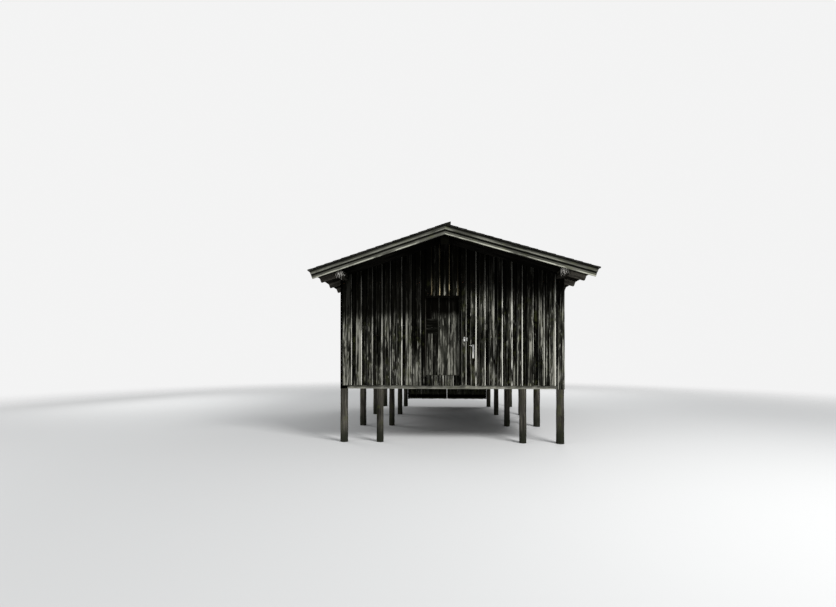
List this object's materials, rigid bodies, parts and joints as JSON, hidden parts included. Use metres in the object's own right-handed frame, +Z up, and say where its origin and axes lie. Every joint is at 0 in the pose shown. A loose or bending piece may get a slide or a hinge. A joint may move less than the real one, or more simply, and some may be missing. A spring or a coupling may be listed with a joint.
{
  "type": "timber boathouse on piles",
  "caption": "Timber boathouse standing on piles in water: boarded walls, shallow gabled shingle roof with wide overhangs, a hinged board door at one gable and a boat gate at the other.",
  "frame": {"origin": "middle of the roof's plan outline, at the height of the pile feet, which is the water line", "axes": "+Y from the door gable to the gate gable along the hut, +X to the right as seen from in front of the door, +Z up"},
  "size_m": [6.44, 9.54, 5.0225],
  "materials": {
    "piles": "weathered round timber, darker near the water",
    "frame_timber": "sawn timber, grey-brown",
    "floor_boards": "sawn planks, grey",
    "wall_boards": "weathered boarding, near-black brown with grey streaks",
    "gate_boards": "weathered boarding",
    "barge_boards": "weathered grey boards with paler lower edges",
    "roof_boards": "sawn boards seen from below",
    "shingles": "weathered split shingles",
    "door_boards": "weathered vertical boards",
    "iron": "dark forged iron with rust",
    "steel": "pale galvanised steel"
  },
  "bodies": {
    "hut": {"piles": "piles", "beams_cross": "frame_timber", "beams_long": "frame_timber", "floor_joists": "frame_timber", "posts": "frame_timber", "door_posts": "frame_timber", "door_stops": "frame_timber", "wall_rails": "frame_timber", "head_beams": "frame_timber", "tie_beams": "frame_timber", "king_posts": "frame_timber", "wall_plates": "frame_timber", "ridge_purlin": "frame_timber", "rafters_left": "frame_timber", "rafters_right": "frame_timber", "walkways": "floor_boards", "landing": "floor_boards", "left_wall": "wall_boards", "right_wall": "wall_boards", "front_wall_left": "wall_boards", "front_wall_right": "wall_boards", "front_gable": "wall_boards", "door_apron": "wall_boards", "back_wall_left": "wall_boards", "back_wall_right": "wall_boards", "back_gable": "wall_boards", "frieze_left": "wall_boards", "frieze_right": "wall_boards", "boat_gate_left": "gate_boards", "boat_gate_right": "gate_boards", "barge_upper_left": "barge_boards", "barge_upper_right": "barge_boards", "barge_lower_left": "barge_boards", "barge_lower_right": "barge_boards", "roof_deck_left": "roof_boards", "roof_deck_right": "roof_boards", "roof_cover_left": "shingles", "roof_cover_right": "shingles", "hinge_pins": "iron", "gate_hinges": "iron", "lock": "steel"},
    "door": {"door_leaf": "door_boards", "door_ledges": "door_boards", "door_hinges": "iron"}
  },
  "joints": [
    {"name": "door_hinge", "type": "hinge", "parent": "hut", "child": "door", "pos_m": [-0.612, -3.803, 2.5], "axis": [0, 0, 1], "range_deg": [0, 90]}
  ]
}
